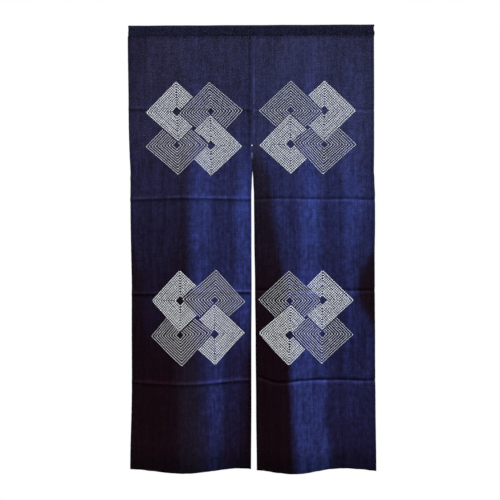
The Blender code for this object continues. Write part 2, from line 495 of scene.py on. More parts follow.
@dataclass
class Panel:
    """One hanging panel of cloth, as a grid of flat places and where each of them hangs.

    set_back_mm is how far the cloth hangs behind the rod, and cut_mm how much wider than width it
    was cut, at each level. hem_mm is how far below its drop the bottom runs, at places spread
    evenly from the -X edge to the +X one. Beside the seam, seam_lit is how far a bluer strip of
    painted light reaches from the inner edge, and seam_line where a painted line lies and how much
    paler it is than the cloth: painted shade where that is negative, a painted highlight where it is
    positive. slit_dark is how much painted shade darkens the edge beside the slit. The lit bands are
    painted light on the folds' sides that face the light, and the sheen bands painted sheen.
    """

    name: str
    node: str
    side: Side
    width: float
    slit_edge_mm: tuple[float, ...]
    set_back_mm: tuple[float, ...]
    cut_mm: tuple[float, ...]
    hem_mm: tuple[float, ...]
    folds: tuple[Fold, ...]
    creases: tuple[Crease, ...]
    # Bands of painted light on the folds' sides that face the light, then bands of painted sheen.
    painted_lit_bands: tuple[PaintedLightBand, ...]
    painted_sheen_bands: tuple[PaintedLightBand, ...]
    seam_lit: float
    seam_line: tuple[float, float]
    slit_dark: float
    seed: int
    slit_drops: tuple[float, ...] = (SEAM_DROP, 0.492, 0.528, 0.580, 0.730, 0.890, 1.090, 1.320, DROP)
    edge_round: float = 0.0004
    along: Array = field(init=False, repr=False)
    down: Array = field(init=False, repr=False)
    middle: Array = field(init=False, repr=False)
    normal: Array = field(init=False, repr=False)
    faces: dict[Face, Array] = field(init=False, repr=False)

    def __post_init__(self) -> None:
        """Lay out the grid, closest at hems and creases, and hang it."""
        hem = [self.edge_round, 0.002, 0.0045, 0.0070, 0.0080, 0.0088, 0.0096, 0.0106, 0.0125]
        self.along = spread([*hem, *(self.width - m for m in reversed(hem))], 0.0055)
        marks = [POCKET_DROP + CLEARANCE]
        for crease in self.creases:
            marks += [crease.drop + MM * m for m in (-14, -9, -6, -4, -2.5, -1.2, 0, 1.2, 2.5, 4, 6, 9, 14)]
        self.down = spread([*marks, *(DROP - m for m in reversed(hem))], 0.0060)
        self.hang()
        self.thicken()

    def share(self, along: Array) -> Array:
        """Turn places along from the inner edge to shares of the width from the -X edge."""
        return along / self.width if self.side is Side.RIGHT else 1 - along / self.width

    def slide(self, share: Array, drop: Array) -> Array:
        """How far rows run below their drop to follow creases and bottom, eased from one to the next."""
        stations = [POCKET_DROP, *(crease.drop for crease in self.creases), DROP]
        lies = [crease.lie(share) for crease in self.creases]
        lies.append(MM * between(np.linspace(0, 1, len(self.hem_mm)), self.hem_mm, share))
        total = np.zeros(np.broadcast(share, drop).shape)
        for weight, lie in zip(np.eye(len(stations))[1:], lies):
            total = total + between(stations, weight, drop) * lie
        return total

    def hang(self) -> None:
        """Work out where the middle of the cloth hangs.

        Across a row the depth comes from the folds, and X adds up steps that keep their length
        along the cloth: the root of the step squared less the change of depth squared. Creases and
        small unevenness then move the cloth along Y alone.
        """
        share, drop = self.share(self.along)[None, :], self.down[:, None]
        depth = sum(fold.depth(share, drop) for fold in self.folds)
        cut = 1 + MM * between(LEVELS, self.cut_mm, drop) / self.width
        step, rise = cut * np.diff(self.along)[None, :], np.diff(depth, axis=1)
        gone = np.cumsum(np.sqrt(step**2 - rise**2), axis=1)
        inner = MM * between(self.slit_drops, self.slit_edge_mm, drop)
        x = self.side.value * (inner + self.along[0] + np.hstack([np.zeros_like(inner), gone]))
        depth = depth + sum(crease.depth(share, drop) for crease in self.creases) + self.ripple()
        y = MM * between(LEVELS, self.set_back_mm, drop) - depth
        z = -(drop + self.slide(share, drop))
        self.middle = np.stack([x, y, z], axis=2)
        run = np.gradient(self.middle, self.along, axis=1)
        fall = np.gradient(self.middle, self.down, axis=0)
        self.normal = unit(-self.side.value * np.cross(run, fall))

    def ripple(self) -> Array:
        """Small unevenness: hems that pucker a little, and a faint cockle of the cloth between them.

        A pucker is a wandering wave along the hem that fades with distance from it. The cockle and
        the drag lines are products of wandering waves along and down.
        """
        along, drop = self.along[None, :], self.down[:, None]
        pucker = 0.0007 * wander(drop, self.seed, 0.034) * bell(self.width - along, 0.020)
        pucker = pucker + 0.0004 * wander(drop, self.seed + 1, 0.028) * bell(along, 0.016)
        hemline = 0.0006 * wander(along, self.seed + 2, 0.040) * bell(DROP - drop, 0.022)
        cockle = 0.0009 * wander(along, self.seed + 3, 0.11) * wander(drop, self.seed + 4, 0.23)
        drag = 0.0005 * wander(along + 0.12 * drop, self.seed + 5, 0.055) * wander(drop, self.seed + 6, 0.5)
        return ramp(0.0, 0.10, drop - POCKET_DROP) * (pucker + hemline + cockle + drag)

    def thicken(self) -> None:
        """Set the two faces: turned hems are thicker, most of all behind, with a sewn furrow."""
        away = np.minimum(self.along, self.width - self.along)[None, :]
        away = np.minimum(away, (DROP - self.down)[:, None])
        turned, furrow = 1 - ramp(0.0094, 0.0108, away), bell(away - HEM_STITCH, 0.0010)
        front = 0.5 * CLOTH + 0.00045 * turned - 0.0004 * furrow
        back = 0.5 * CLOTH + 0.0013 * turned - 0.0003 * furrow
        self.faces = {
            Face.FRONT: self.middle + self.normal * front[..., None],
            Face.BACK: self.middle - self.normal * back[..., None],
        }

    def surface(self, face: Face, along: Array, drop: Array, by_row: bool = False) -> tuple[Array, Array]:
        """Read a face of the cloth and the way out of it.

        The rows slide as the cloth hangs, so the row at a drop is found as the drop less the slide.

        Args:
            face: which face.
            along: places from the inner edge.
            drop: drops below the rod pocket's top.
            by_row: whether the drops are rows of the cloth instead, which follow its bottom.

        Returns:
            The points there and the unit vectors out of the cloth.
        """
        share = self.share(along)
        row = drop if by_row else drop - self.slide(share, drop - self.slide(share, drop))
        points, normal = (sample(grid, self.down, self.along, row, along)
                          for grid in (self.faces[face], self.normal))
        return points, face.value * normal

    def rim(self) -> tuple[Array, Array, Array]:
        """Walk round the border.

        Returns:
            The border's grid indices, its middle points pushed out to the cut edge, and their flat places.
        """
        rows, columns = len(self.down), len(self.along)
        r = np.concatenate([np.zeros(columns - 1, int), np.arange(rows - 1),
                            np.full(columns - 1, rows - 1), np.arange(rows - 1, 0, -1)])
        c = np.concatenate([np.arange(columns - 1), np.full(rows - 1, columns - 1),
                            np.arange(columns - 1, 0, -1), np.zeros(rows - 1, int)])
        out = unit(self.middle[r, c] - self.middle[np.clip(r, 1, rows - 2), np.clip(c, 1, columns - 2)])
        push = np.where(r == 0, 0.0, self.edge_round)[:, None]
        points = (self.faces[Face.FRONT][r, c] + self.faces[Face.BACK][r, c]) / 2 + out * push
        return r * columns + c, points, np.stack([self.along[c], self.down[r]], axis=1)

    def build(self, material: bpy.types.Material) -> bpy.types.Object:
        """Make the closed sheet: a front grid, a back grid and a rounded rim between them."""
        rows, columns = len(self.down), len(self.along)
        index = np.arange(rows * columns).reshape(rows, columns)
        corners = [index[:-1, :-1], index[:-1, 1:], index[1:, 1:], index[1:, :-1]]
        front = np.stack(corners, axis=-1).reshape(-1, 4)
        behind = rows * columns
        border, rim_points, rim_flat = self.rim()
        edge = 2 * behind + np.arange(len(border))
        on, edge_on = np.roll(border, -1), np.roll(edge, -1)
        quads = np.vstack([
            front,
            front[:, ::-1] + behind,
            np.stack([on, border, edge, edge_on], axis=1),
            np.stack([edge_on, edge, border + behind, on + behind], axis=1),
        ])
        if self.side is Side.RIGHT:
            quads = quads[:, ::-1]
        points = np.vstack([*(self.faces[face].reshape(-1, 3) for face in Face), rim_points])
        along, down = np.meshgrid(self.along, self.down)
        flat = np.stack([along.ravel(), down.ravel()], axis=1)
        flat = np.vstack([flat, flat, rim_flat])
        piece = add_mesh(self.name, points, quads, material)
        piece.data.set_sharp_from_angle(angle=math.radians(50))
        add_uv(piece, flat_to_uv(self.side, flat))
        self.paint(piece, flat[:, 0], flat[:, 1])
        return dress(piece, "indigo_cotton", self.node)

    def paint(self, piece: bpy.types.Object, along: Array, drop: Array) -> None:
        """Give the piece its numbers of painted light and shade.

        blue is the sum of the bands of painted light and of the painted-lit hem beside the seam, and a
        painted sheen greys the upper cloth, more in the sheen bands. shade darkens hems and furrows, the
        slit's edge and the cloth just below the rod pocket with painted shade, darkens the cloth above the
        bottom, and paints each crease with a highlight on its lit side and shade on the other.
        """
        share, (line_at, paler) = self.share(along), self.seam_line
        sewn = 1 - ramp(0.42, 0.46, drop)
        # Painted light: bluer bands where the folds' sides face the light, and a lit strip on the raised
        # hem beside the seam.
        lit = sewn * (1 - ramp(self.seam_lit - 0.002, self.seam_lit + 0.002, along))
        blue = sum(band.amount(share, drop) for band in self.painted_lit_bands) + 0.06 * lit
        # Painted sheen: greyer towards the top, more in the sheen bands.
        veil = between((0.0, 0.36, 0.52, 0.70, 0.92, 1.10), (0.46, 0.41, 0.23, 0.12, 0.046, 0.0), drop)
        veil = veil + sum(band.amount(share, drop) for band in self.painted_sheen_bands)
        inner = along + sewn  # a metre more along the seam, where no edge shows
        away = np.minimum(np.minimum(inner, self.width - along), DROP - drop)
        # Painted shade: turned hems darker and their sewn furrows darker still; beside the seam a painted
        # line of shade or highlight, and painted shade along the slit's edge.
        shade = 1 - 0.15 * (1 - ramp(0.0085, 0.0115, away)) - 0.22 * bell(away - 0.0098, 0.0014)
        shade = shade * (1 + 0.15 * lit + paler * sewn * bell(along - line_at, 0.0042))
        shade = shade * (1 - self.slit_dark * bell(inner, 0.0045))
        # Painted shade just below the rod pocket; the cloth also darker towards the bottom.
        below_pocket = 0.55 + 0.45 * ramp(0.036, 0.052, drop)
        near_bottom = 1 - 0.45 * ramp(DROP - 0.090, DROP - 0.020, drop)
        shade = shade * below_pocket * near_bottom
        # Each crease painted with a highlight on its lit side and shade on the other.
        for crease in self.creases:
            shade = shade * crease.painted_light(share, drop)
        add_amounts(piece, blue=blue, veil=veil, shade=shade)


def flat_to_uv(side: Side, flat: Array) -> Array:
    """Lay flat places out as a UV map, the two panels apart so that their slubs differ."""
    return flat * (side.value, -1.0) + (side.value * 2.0, 0.0)


def pocket_outline(radius: float, feet: tuple[tuple[float, float], tuple[float, float]]) -> Array:
    """Outline cloth that hangs over a rod: straight up from the front foot, over, and down to the back.

    A straight side touches the circle round the rod at its foot's bearing turned by the angle whose
    cosine is radius over distance.

    Args:
        radius: the circle's radius, about the rod's middle.
        feet: (y, z) of the front foot and of the back foot.

    Returns:
        Points as (y, z), with 5 on each straight side and 25 on the arc.
    """
    centre = np.array([0.0, -(ROD_ROOM + CLOTH)])
    front, back = np.array(feet)
    reach = [foot - centre for foot in (front, back)]
    turn = [math.acos(radius / np.hypot(*r)) for r in reach]
    start = math.atan2(reach[0][1], reach[0][0]) - turn[0]
    end = math.atan2(reach[1][1], reach[1][0]) + turn[1] - 2 * math.pi
    arc = np.linspace(start, end, 25)
    over = centre + radius * np.stack([np.cos(arc), np.sin(arc)], axis=1)
    rise = np.linspace(0, 1, 6)[:-1, None]
    return np.vstack([front + (over[0] - front) * rise, over, (back + (over[-1] - back) * rise)[::-1]])


@dataclass
class RodPocket:
    """The rod pocket of one panel: the cloth turned back over the rod and sewn down."""

    name: str
    node: str
    side: Side
    width: float
    gape: float
    seed: int
    step: float = 0.006
    along: Array = field(init=False, repr=False)
    outer: Array = field(init=False, repr=False)
    inner: Array = field(init=False, repr=False)

    def __post_init__(self) -> None:
        """Carry the outlines along X."""
        end = self.width + CLEARANCE / 2
        marks = [0.0, 0.002, 0.0072, 0.0088, 0.0104, 0.013]
        self.along = spread([*marks, *(end - m for m in reversed(marks))], self.step)
        half, foot = CLOTH / 2, -POCKET_DROP
        outer = pocket_outline(ROD_ROOM + CLOTH, ((-half, foot), (half + 0.0019, foot - 0.0015)))
        inner = pocket_outline(ROD_ROOM, ((-0.0001, foot + 0.0035), (half + 0.0005, foot + 0.0035)))
        self.outer, self.inner = self.carry(outer, 1.0), self.carry(inner, 0.0)

    def carry(self, outline: Array, raised: float) -> Array:
        """Carry an outline along the rod.

        A wandering wave moves the slack cloth in and out below the rod, another lets the top dip,
        and the front stops short by the gape at the outer mouth. The turned ends stand a little
        proud of the outer outline, with a sewn furrow in each.

        Args:
            outline: points as (y, z).
            raised: the share of the ends' relief that it takes.

        Returns:
            Points, (stations, outline points, 3).
        """
        along, y, z = self.along[:, None], outline[None, :, 0], outline[None, :, 1]
        slack = np.clip((-z - 0.008) / 0.010, 0, 1) * np.clip((POCKET_DROP + z) / 0.012, 0, 1)
        wave = 0.0009 * wander(along, self.seed, 0.09) + 0.0005 * wander(along, self.seed + 1, 0.03)
        dip = 0.00035 * (wander(along, self.seed + 2, 0.21) - 1) * np.clip(1 + z / 0.012, 0, 1)
        ends = np.minimum(along, self.along[-1] - along)
        relief = 0.0004 * (1 - ramp(0.0094, 0.0108, ends)) - 0.0004 * bell(ends - HEM_STITCH, 0.0010)
        out = unit(np.stack([-np.gradient(outline[:, 1]), np.gradient(outline[:, 0])], axis=1))
        out = out[None] * (raised * relief * ramp(0.001, 0.006, -z))[..., None]
        short = self.gape * ramp(0.0, 0.006, -y) * (1 - ramp(0.016, 0.028, -z))
        x = self.side.value * (along - short * ramp(self.width - 0.03, self.width, along))
        y = y + slack * wave * np.where(y < 0, 1.0, 0.6) + out[..., 0]
        return np.stack([x, y, z + dip + out[..., 1]], axis=2)

    def front_at(self, along: Array, z: float) -> tuple[Array, Array]:
        """Read the front of the pocket below the rod: the points at a height, and the way out of it."""
        leg = self.outer[:, :6]
        low, high = leg[0, 0, 2], leg[0, 5, 2]
        share = np.full_like(along, 5 * (z - low) / (high - low))
        points = sample(leg, self.along, np.arange(6.0), along, share)
        run = leg[len(leg) // 2, 5] - leg[len(leg) // 2, 0]
        way = unit(np.array([0.0, -run[2], run[1]]))
        return points, np.broadcast_to(way, points.shape)

    def build(self, material: bpy.types.Material) -> bpy.types.Object:
        """Make the closed wall: the outer outline's surface, the inner one's, and a ring at each mouth."""
        stations, count = self.outer.shape[:2]
        index = np.arange(stations * count).reshape(stations, count)
        on = np.roll(index, -1, axis=1)
        wall = np.stack([index[:-1], index[1:], on[1:], on[:-1]], axis=-1).reshape(-1, 4)
        within = stations * count
        first = np.stack([index[0], on[0], on[0] + within, index[0] + within], axis=1)
        quads = np.vstack([wall, wall[:, ::-1] + within, first, first[:, ::-1] + (stations - 1) * count])
        if self.side is Side.LEFT:
            quads = quads[:, ::-1]
        points = np.vstack([self.outer.reshape(-1, 3), self.inner.reshape(-1, 3)])
        piece = add_mesh(self.name, points, quads, material)
        piece.data.set_sharp_from_angle(angle=math.radians(60))
        leg = np.linalg.norm(np.diff(self.outer[0], axis=0), axis=1)
        down = POCKET_DROP - np.concatenate([[0.0], np.cumsum(leg)])
        along, down = (a.ravel() for a in np.meshgrid(self.along, down, indexing="ij"))
        flat = np.tile(np.stack([along, down], axis=1), (2, 1))
        add_uv(piece, flat_to_uv(self.side, flat))
        self.paint(piece, flat[:, 0], points, np.arange(len(points)) >= within)
        return dress(piece, "indigo_cotton", self.node)

    def paint(self, piece: bpy.types.Object, along: Array, points: Array, inside: Array) -> None:
        """Give the piece its painted numbers: a dark band of painted shade, paler with a painted highlight
        along its top, and black with painted shade inside.
        """
        # Painted highlight along the top, where it faces up; painted shade in the sewn furrow and on the
        # turned ends.
        painted_light = bell(points[:, 2] + 0.003, 0.003)
        sewn = bell(points[:, 2] + 0.0335, 0.0014)
        ends = 1 - ramp(0.0085, 0.0115, np.minimum(along, self.width - along))
        shade = 0.36 + 0.16 * painted_light - 0.05 * sewn - 0.04 * ends
        # Painted shade inside the pocket.
        shade = shade * np.where(inside, 0.12, 1.0)
        add_amounts(piece, blue=0 * along + 0.08, veil=0 * along + 0.85, shade=shade)


# ---------------------------------------------------------------------------------------------
# Stitches
# ---------------------------------------------------------------------------------------------


@dataclass(frozen=True)
class StitchForm:
    """How a stitch is shaped: stations along it, with its middle's lift and its girth at each.

    Lift and girth are shares of the thread's half height and of its width. A negative lift is
    inside the cloth. height is the section's height as a share of its width.
    """

    along: tuple[float, ...]
    lift: tuple[float, ...]
    girth: tuple[float, ...]
    sides: int
    height: float


HAND_STITCH = StitchForm((0.0, 0.2, 0.8, 1.0), (-0.75, 0.42, 0.42, -0.75), (0.5, 1.0, 1.0, 0.5), 6, 0.62)
HAND_STITCH_BEHIND = StitchForm((0.0, 0.5, 1.0), (-0.75, 0.35, -0.75), (0.5, 0.95, 0.5), 4, 0.55)
MACHINE_STITCH = StitchForm((0.0, 0.5, 1.0), (-0.9, 0.5, -0.9), (0.6, 1.0, 0.6), 4, 0.8)


@dataclass(frozen=True)
class Tubes:
    """Points, faces and thread places of many stitches in one mesh."""

    points: Array
    quads: Array
    thread: Array

    @classmethod
    def along(cls, middle: Array, normal: Array, width: Array, form: StitchForm) -> "Tubes":
        """Work out a flattened tube along each stitch.

        A section's middle is the cloth's surface plus the way out of it times the lift. Its points
        go round an ellipse in the plane of that way and of the direction square to the stitch.

        Args:
            middle: points on the cloth, (stitches, stations, 3).
            normal: unit vectors out of the cloth, of the same shape.
            width: the thread's width, one for each stitch.
            form: how each stitch is shaped.

        Returns:
            All the tubes, closed at both ends.
        """
        across = unit(np.cross(normal, middle[:, -1:] - middle[:, :1]))
        half_width = 0.5 * width[:, None, None] * np.array(form.girth)[None, :, None]
        half_height = half_width * form.height
        lift = 0.5 * form.height * width[:, None, None] * np.array(form.lift)[None, :, None]
        turn = (2 * np.pi * np.arange(form.sides) / form.sides)[:, None]
        centre = (middle + normal * lift)[:, :, None]
        points = centre + (across * half_width)[:, :, None] * np.cos(turn) \
            + (normal * half_height)[:, :, None] * np.sin(turn)
        count, stations, sides = points.shape[:3]
        index = np.arange(stations * sides).reshape(stations, sides)
        on = np.roll(index, -1, axis=1)
        walls = np.stack([index[:-1], on[:-1], on[1:], index[1:]], axis=-1).reshape(-1, 4)
        cap = np.array([(0, k, k + 1, k + 2) for k in range(1, sides - 2, 2)])
        faces = np.vstack([walls, cap[:, ::-1], cap + (stations - 1) * sides])
        quads = faces[None] + (np.arange(count) * stations * sides)[:, None, None]
        length = np.linalg.norm(middle[:, -1] - middle[:, 0], axis=1)[:, None, None]
        run = np.arange(count)[:, None, None] * 0.0137 + length * np.array(form.along)[None, :, None]
        thread = np.stack(np.broadcast_arrays(run, width[:, None, None] * turn[:, 0] / 2), axis=-1)
        return cls(points.reshape(-1, 3), quads.reshape(-1, 4), thread.reshape(-1, 2))

    @classmethod
    def joined(cls, parts: Sequence["Tubes"]) -> "Tubes":
        """Put several sets of tubes into one."""
        starts = np.cumsum([0, *(len(part.points) for part in parts[:-1])])
        return cls(
            np.vstack([part.points for part in parts]),
            np.vstack([part.quads + start for part, start in zip(parts, starts)]),
            np.vstack([part.thread for part in parts]),
        )

    def build(self, name: str, slot: str, material: bpy.types.Material) -> bpy.types.Object:
        """Make them one piece."""
        piece = add_mesh(name, self.points, self.quads, material)
        add_uv(piece, self.thread)
        return dress(piece, slot)


@dataclass(frozen=True)
class Run:
    """Stitches of one thread, as flat places: where each starts and ends, (n, 2), and its width."""

    start: Array
    end: Array
    width: Array

    @classmethod
    def sewn(cls, first: tuple[float, float], last: tuple[float, float], stitch: float, gap: float,
             width: float) -> "Run":
        """Sew a straight line of even stitches from one flat place to another."""
        first, last = np.array(first), np.array(last)
        count = max(1, round((np.hypot(*(last - first)) + gap) / (stitch + gap)))
        share = np.arange(count)[:, None] / count
        length = stitch / (stitch + gap) / count
        return cls(first + (last - first) * share, first + (last - first) * (share + length),
                   np.full(count, width))

    def on(self, panel: Panel, face: Face, form: StitchForm, by_row: bool = False) -> Tubes:
        """Lay the stitches on a face of a panel, at their drops or, by_row, on rows of the cloth."""
        share = np.array(form.along)[None, :, None]
        flat = self.start[:, None] * (1 - share) + self.end[:, None] * share
        points, normal = panel.surface(face, flat[..., 0], flat[..., 1], by_row)
        return Tubes.along(points, normal, self.width, form)


class Place(Enum):
    """Where a square stands in its motif: outwards and upwards of the motif's middle."""

    OUTER_UPPER = (1, 1)
    INNER_UPPER = (-1, 1)
    INNER_LOWER = (-1, -1)
    OUTER_LOWER = (1, -1)


@dataclass(frozen=True)
class Rings:
    """How a square is filled: nested rings, each of one or more rows of stitches side by side.

    eye is how far the innermost ring's outer row lies from the middle. uneven is how much the
    stitches vary, as a share of a gap and of a thread. Where the gaps are aligned, they stand in
    line from ring to ring, counted from the middle of each edge.
    """

    count: int
    rows: int
    thread: float
    stitch: float
    gap: float
    eye: float
    uneven: float
    aligned: bool

    def apothems(self, outermost: float) -> Array:
        """How far each row of stitches lies from the square's middle."""
        ring = np.linspace(outermost - self.thread / 2, self.eye, self.count)
        return (ring[:, None] - 1.02 * self.thread * np.arange(self.rows)).ravel()

    def rhythm(self, length: Array, foot: Array) -> tuple[Array, Array, Array]:
        """Divide pieces of edges into stitches.

        An even rhythm fills a piece from end to end with whole stitches. An aligned one keeps its
        pitch, with the middle of a gap at the foot, so that the first and last stitch may be cut.

        Args:
            length: the length of each piece.
            foot: how far along from its start the square's middle lies.

        Returns:
            Where the first stitch of each piece starts, the pitch, and how many there are.
        """
        pitch = self.stitch + self.gap
        if self.aligned:
            first = (foot + self.gap / 2) % pitch - pitch
            return first, np.full_like(length, pitch), np.ceil((length - first) / pitch).astype(int)
        count = np.maximum(1, np.round((length + self.gap) / pitch)).astype(int)
        return np.zeros_like(length), (length + self.gap) / count, count


class Filling(Enum):
    """The two fillings: single lines, or a close grid of rows in pairs."""

    LINES = Rings(count=10, rows=1, thread=0.0016, stitch=0.0052, gap=0.0011, eye=0.0108,
                  uneven=0.2, aligned=False)
    DENSE = Rings(count=10, rows=2, thread=0.0020, stitch=0.0047, gap=0.0016, eye=0.0155,
                  uneven=0.5, aligned=True)


# Each square's filling, and the neighbour that passes over it: all four pass under one and over one
WOVEN = {
    Place.OUTER_UPPER: (Filling.DENSE, Place.INNER_UPPER),
    Place.INNER_UPPER: (Filling.LINES, Place.INNER_LOWER),
    Place.INNER_LOWER: (Filling.DENSE, Place.OUTER_LOWER),
    Place.OUTER_LOWER: (Filling.LINES, Place.OUTER_UPPER),
}


@dataclass(frozen=True)
class SquareMotif:
    """Four squares set on their corners that pass over and under each other, in running stitch.

    A square is a set of nested rings that share its middle. Where the neighbour that passes over
    it lies, with a bare margin round that, its rings stop. tilt_degrees says how far each square
    is turned by hand, its outer corner downwards, in the order of the places.
    """

    panel: Panel
    name: str
    middle: tuple[float, float]
    tilt_degrees: tuple[float, float, float, float]
    seed: int
    shift: float = 0.058
    half_along: float = 0.107
    half_down: float = 0.1025
    margin: float = 0.0042

    def centre(self, place: Place) -> Array:
        """Flat middle of a square."""
        out, up = place.value
        return np.array(self.middle) + self.shift * np.array([out, -up])

    def turn(self, place: Place) -> Array:
        """Turn of a square, as the matrix that a row of flat offsets is multiplied by."""
        angle = math.radians(self.tilt_degrees[list(Place).index(place)])
        return np.array([[math.cos(angle), math.sin(angle)], [-math.sin(angle), math.cos(angle)]])

    def apothem(self) -> float:
        """How far a square's edges lie from its middle."""
        return self.half_along * self.half_down / math.hypot(self.half_along, self.half_down)

    def edges(self, place: Place, rings: Rings) -> tuple[Array, Array]:
        """Lay out the rows of stitches: four edges each, with corners a little off, as by hand.

        Returns:
            Where each edge starts and ends, (edges, 2).
        """
        size = (rings.apothems(self.apothem()) / self.apothem())[:, None, None]
        corners = np.array([[self.half_along, 0], [0, self.half_down],
                            [-self.half_along, 0], [0, -self.half_down]])
        draw = np.random.default_rng([self.seed, list(Place).index(place)])
        off = draw.normal(0, 0.0011, (len(size), 4, 2))
        off = 0.4 * off + off[0] * size
        start = self.centre(place) + (size * corners + off) @ self.turn(place)
        return start.reshape(-1, 2), np.roll(start, -1, axis=1).reshape(-1, 2)

    def uncovered(self, start: Array, end: Array, over: Place) -> tuple[Array, Array]:
        """Cut away what the square passing over hides.

        That square, grown by the margin, is where for all four pairs of signs the signed shares of
        its half sizes add up to no more than its size. Along an edge each sum changes evenly, so
        each sets a first or last hidden share of the edge.

        Returns:
            Where each piece that is left starts and ends.
        """
        size = 1 + self.margin / self.apothem()
        signs = np.array([[1, 1], [1, -1], [-1, 1], [-1, -1]]) / (self.half_along, self.half_down)
        sums = self.turn(over).T @ signs.T
        at_start = (start - self.centre(over)) @ sums
        change = (end - self.centre(over)) @ sums - at_start
        even = np.abs(change) < 1e-9
        crossing = (size - at_start) / np.where(even, 1.0, change)
        first = np.where(even | (change > 0), -np.inf, crossing)
        last_if_even = np.where(at_start <= size, np.inf, -np.inf)
        last = np.where(even, last_if_even, np.where(change > 0, crossing, np.inf))
        first, last = np.clip(first.max(axis=1), 0, 1), np.clip(last.min(axis=1), 0, 1)
        whole = first >= last
        first, last = np.where(whole, 1.0, first)[:, None], np.where(whole, 1.0, last)[:, None]
        begin = np.vstack([start, start + (end - start) * last])
        finish = np.vstack([start + (end - start) * first, end])
        long = np.linalg.norm(finish - begin, axis=1) > 0.0025
        return begin[long], finish[long]

    def sew(self, place: Place) -> tuple[Run, Run]:
        """Sew a square's rings: stitches fill each piece of an edge from end to end.

        Returns:
            The stitches on the front, and those behind, which bridge the gaps between them.
        """
        filling, over = WOVEN[place]
        rings = filling.value
        begin, finish = self.uncovered(*self.edges(place, rings), over)
        length, way = np.linalg.norm(finish - begin, axis=1), unit(finish - begin)
        foot = np.sum((self.centre(place) - begin) * way, axis=1)
        first, pitch, count = rings.rhythm(length, foot)
        edge = np.repeat(np.arange(len(count)), count)
        order = np.arange(len(edge)) - np.repeat(np.cumsum(count) - count, count)
        draw = np.random.default_rng(self.seed + 10 * list(Place).index(place))
        slip, slip_end, skew_start, skew_end, thick = draw.uniform(-1, 1, (5, len(edge)))
        slack = rings.uneven * rings.gap / 2
        from_start = first[edge] + order * pitch[edge]
        to_end = np.minimum(from_start + pitch[edge] - rings.gap + slack * slip_end, length[edge])
        from_start = np.maximum(from_start + slack * slip, 0.0)
        keep = to_end - from_start > 0.4 * rings.stitch
        edge, from_start, to_end = edge[keep], from_start[keep, None], to_end[keep, None]
        skew = 0.4 * rings.uneven * rings.thread
        way = way[edge]
        square = skew * np.stack([-way[:, 1], way[:, 0]], axis=1)
        start = begin[edge] + way * from_start + square * skew_start[keep, None]
        end = begin[edge] + way * to_end + square * skew_end[keep, None]
        more = np.flatnonzero(edge[1:] == edge[:-1])
        front = Run(start, end, rings.thread * (1 + 0.35 * rings.uneven * thick[keep]))
        return front, Run(end[more], start[more + 1], np.full(len(more), 0.8 * rings.thread))

    def build(self, material: bpy.types.Material) -> list[bpy.types.Object]:
        """Make one piece of each square."""
        pieces = []
        for place in Place:
            front, behind = self.sew(place)
            tubes = Tubes.joined([
                front.on(self.panel, Face.FRONT, HAND_STITCH),
                behind.on(self.panel, Face.BACK, HAND_STITCH_BEHIND),
            ])
            pieces.append(tubes.build(f"{self.name}_{place.name.lower()}", "pale_thread", material))
        return pieces


@dataclass(frozen=True)
class MachineSewing:
    """The machine stitching in navy thread that holds hems, rod pocket and centre seam."""

    left: Panel
    right: Panel
    stitch: float = 0.0024
    gap: float = 0.0005
    width: float = 0.0006

    def hems(self, panel: Panel, material: bpy.types.Material) -> bpy.types.Object:
        """Sew round one panel's two sides and its bottom, on both faces."""
        inner, outer = HEM_STITCH, panel.width - HEM_STITCH
        top, bottom = POCKET_DROP + 0.0015, DROP - HEM_STITCH
        corners = [(inner, top), (inner, bottom), (outer, bottom), (outer, top)]
        runs = [Run.sewn(a, b, self.stitch, self.gap, self.width) for a, b in zip(corners, corners[1:])]
        tubes = Tubes.joined([run.on(panel, face, MACHINE_STITCH, by_row=True)
                              for run in runs for face in Face])
        return tubes.build(panel.name.replace("cloth", "hem_stitching"), "navy_thread", material)

    def pocket(self, pocket: RodPocket, z: float, material: bpy.types.Material) -> bpy.types.Object:
        """Sew one rod pocket shut along its foot."""
        run = Run.sewn((0.002, z), (pocket.width - 0.002, z), self.stitch, self.gap, self.width)
        share = np.array(MACHINE_STITCH.along)[None, :]
        along = run.start[:, :1] * (1 - share) + run.end[:, :1] * share
        tubes = Tubes.along(*pocket.front_at(along, z), run.width, MACHINE_STITCH)
        return tubes.build(pocket.name.replace("cloth", "stitching"), "navy_thread", material)

    def across_slit(self, drops: Array, reach: tuple[float, float], slant: float, width: float,
                    face: Face) -> Tubes:
        """Lay stitches across the meeting edges of the two panels.

        Args:
            drops: where each one starts on the left panel.
            reach: how far it goes into the left panel and into the right one.
            slant: how much lower it ends on the right panel.
            width: the thread's width.
            face: which face they show on.

        Returns:
            The stitches, each one straight from panel to panel.
        """
        left, out_left = self.left.surface(face, np.full_like(drops, reach[0]), drops)
        right, out_right = self.right.surface(face, np.full_like(drops, reach[1]), drops + slant)
        middle = np.stack([left, (left + right) / 2, right], axis=1)
        normal = unit(np.stack([out_left, out_left + out_right, out_right], axis=1))
        return Tubes.along(middle, normal, np.full_like(drops, width), MACHINE_STITCH)

    def centre_seam(self, material: bpy.types.Material) -> bpy.types.Object:
        """Oversew the two hems together from the rod pocket to the top of the slit, on both faces."""
        drops = np.arange(POCKET_DROP + 0.002, SEAM_DROP - 0.002, 0.0021)
        tubes = Tubes.joined([self.across_slit(drops, (0.0012, 0.0012), 0.0009, 0.0006, face)
                              for face in Face])
        return tubes.build("centre_seam_stitching", "navy_thread", material)

    def bar_tack(self, material: bpy.types.Material) -> bpy.types.Object:
        """Close the end of the seam with a short block of stitches across it."""
        drops = np.arange(0.4365, 0.4545, 0.00085)
        tubes = Tubes.joined([self.across_slit(drops, (0.0040, 0.0008), 0.0006, 0.0011, face)
                              for face in Face])
        return tubes.build("bar_tack", "pale_thread", material)

    def knot(self, material: bpy.types.Material) -> bpy.types.Object:
        """Leave the pale thread's end as three short stitches above the bar tack."""
        drops = np.array([0.4100, 0.4113, 0.4126])
        tubes = self.across_slit(drops, (0.0046, 0.0008), 0.0003, 0.0016, Face.FRONT)
        return tubes.build("seam_knot", "pale_thread", material)


# ---------------------------------------------------------------------------------------------
# Studio
# ---------------------------------------------------------------------------------------------


